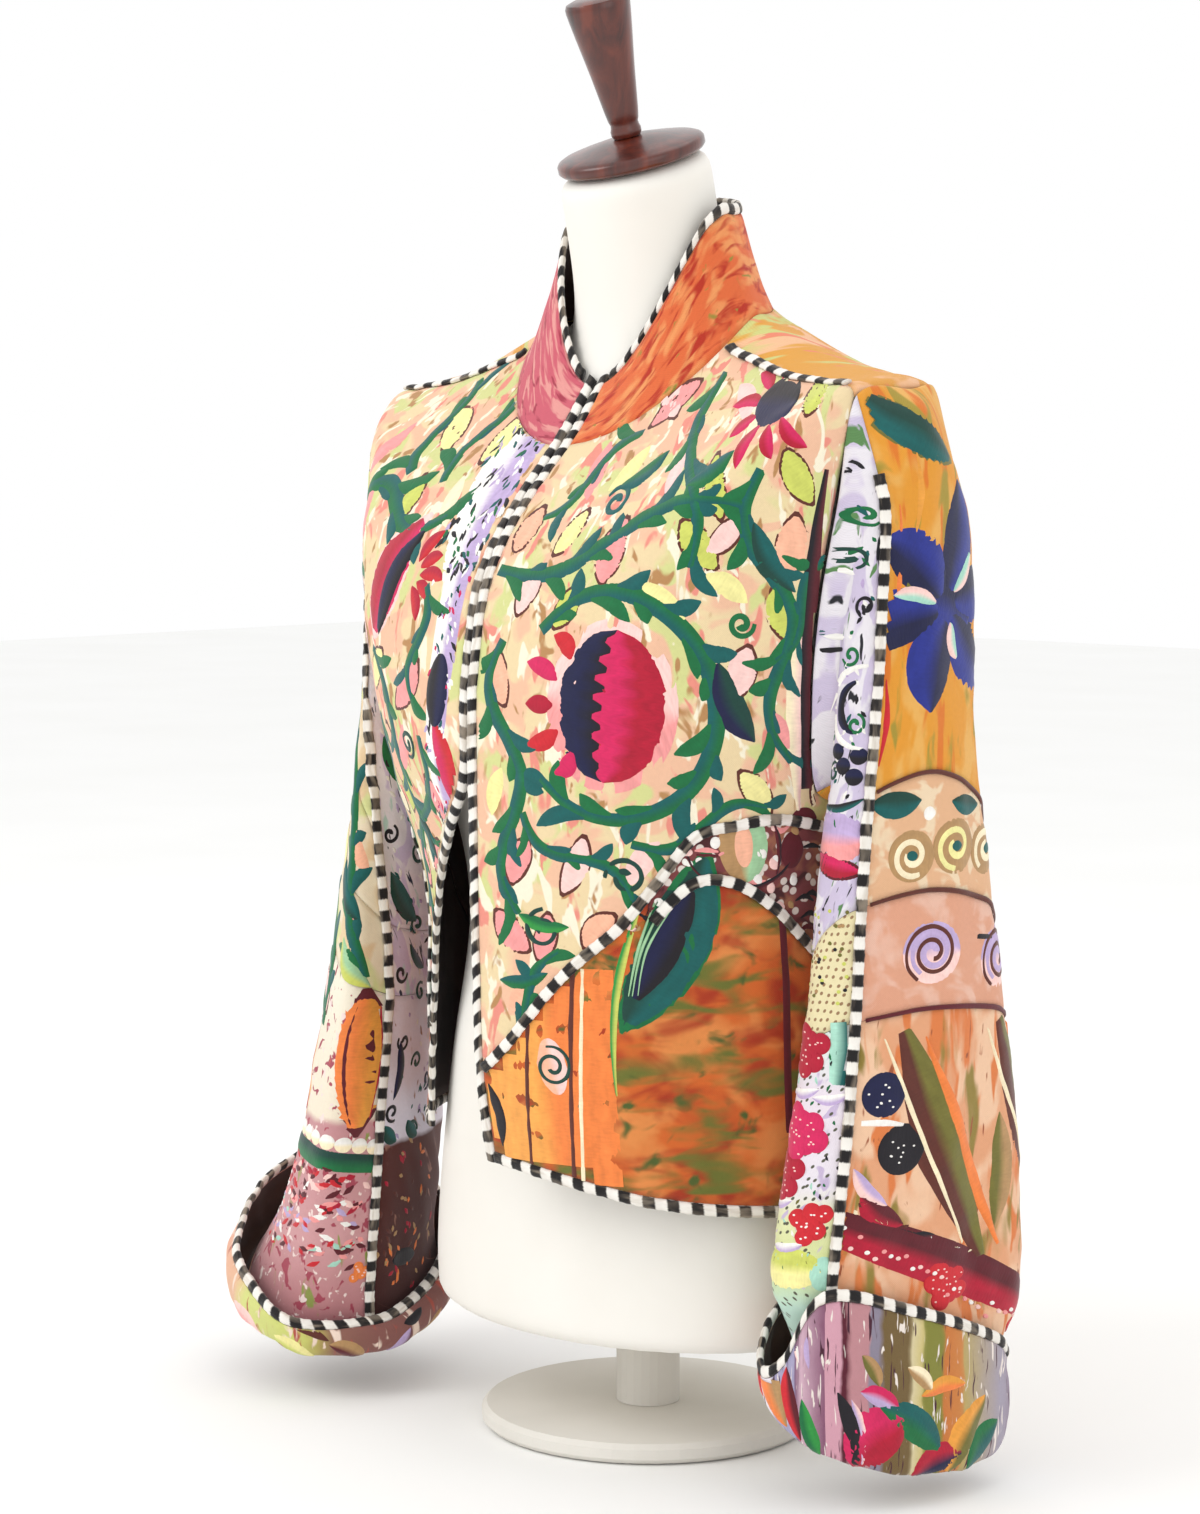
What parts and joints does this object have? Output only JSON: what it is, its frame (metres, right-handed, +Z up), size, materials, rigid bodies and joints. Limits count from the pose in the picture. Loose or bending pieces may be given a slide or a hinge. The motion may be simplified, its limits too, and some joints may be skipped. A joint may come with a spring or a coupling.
{
  "type": "cropped patchwork jacket on a limbless dress form",
  "caption": "Cropped long-sleeved jacket pieced from embroidered and printed cloth with striped piping, a stand collar and turned-back flared cuffs, worn by a limbless dress form on a stand.",
  "frame": {"origin": "middle of the stand's flat underside", "axes": "+Z up, -Y the jacket's front, +X the wearer's left"},
  "size_m": [0.5576, 0.2791, 0.8876],
  "materials": {
    "front_cloth": "pieced cotton, quilted and embroidered",
    "patch_cloth": "pieced cotton, quilted and embroidered",
    "hem_cloth": "pieced cotton, quilted and embroidered",
    "back_cloth": "pieced cotton, quilted and embroidered",
    "coral_cloth": "pieced cotton, quilted and embroidered",
    "rose_cloth": "pieced cotton, quilted and embroidered",
    "sleeve_cloth": "pieced cotton, quilted and embroidered",
    "scroll_cloth": "pieced cotton, quilted and embroidered",
    "spiral_cloth": "pieced cotton, quilted and embroidered",
    "lower_sleeve_cloth": "pieced cotton, quilted and embroidered",
    "strip_cloth": "pieced cotton, quilted and embroidered",
    "strip_middle_cloth": "pieced cotton, quilted and embroidered",
    "strip_lower_cloth": "pieced cotton, quilted and embroidered",
    "cuff_cloth": "pieced cotton, quilted and embroidered",
    "striped_trim": "black and white striped cotton binding",
    "form_shell": "smooth matte shell",
    "turned_wood": "dark varnished turned wood",
    "stand_paint": "matt white paint"
  },
  "bodies": {
    "root": {"front_left_upper": "front_cloth", "front_right_upper": "front_cloth", "front_left_patch": "patch_cloth", "front_right_patch": "patch_cloth", "front_left_lower": "hem_cloth", "front_right_lower": "hem_cloth", "back": "back_cloth", "collar_left": "coral_cloth", "collar_right": "rose_cloth", "sleeve_left_outer_upper": "sleeve_cloth", "sleeve_right_outer_upper": "sleeve_cloth", "sleeve_left_outer_scroll": "scroll_cloth", "sleeve_right_outer_scroll": "scroll_cloth", "sleeve_left_outer_spiral": "spiral_cloth", "sleeve_right_outer_spiral": "spiral_cloth", "sleeve_left_outer_lower": "lower_sleeve_cloth", "sleeve_right_outer_lower": "lower_sleeve_cloth", "sleeve_left_front_upper": "strip_cloth", "sleeve_right_front_upper": "strip_cloth", "sleeve_left_front_middle": "strip_middle_cloth", "sleeve_right_front_middle": "strip_middle_cloth", "sleeve_left_front_lower": "strip_lower_cloth", "sleeve_right_front_lower": "strip_lower_cloth", "cuff_left": "cuff_cloth", "cuff_right": "cuff_cloth", "binding_front_left": "striped_trim", "binding_front_right": "striped_trim", "binding_collar_left": "striped_trim", "binding_collar_right": "striped_trim", "binding_hem": "striped_trim", "binding_cuff_left": "striped_trim", "binding_cuff_right": "striped_trim", "piping_shoulder_left": "striped_trim", "piping_shoulder_right": "striped_trim", "piping_slant_left": "striped_trim", "piping_slant_right": "striped_trim", "piping_patch_left": "striped_trim", "piping_patch_right": "striped_trim", "piping_sleeve_left": "striped_trim", "piping_sleeve_right": "striped_trim", "form_torso": "form_shell", "form_cap": "turned_wood", "form_handle": "turned_wood", "stand_pole": "stand_paint", "stand_base": "stand_paint"}
  },
  "joints": []
}
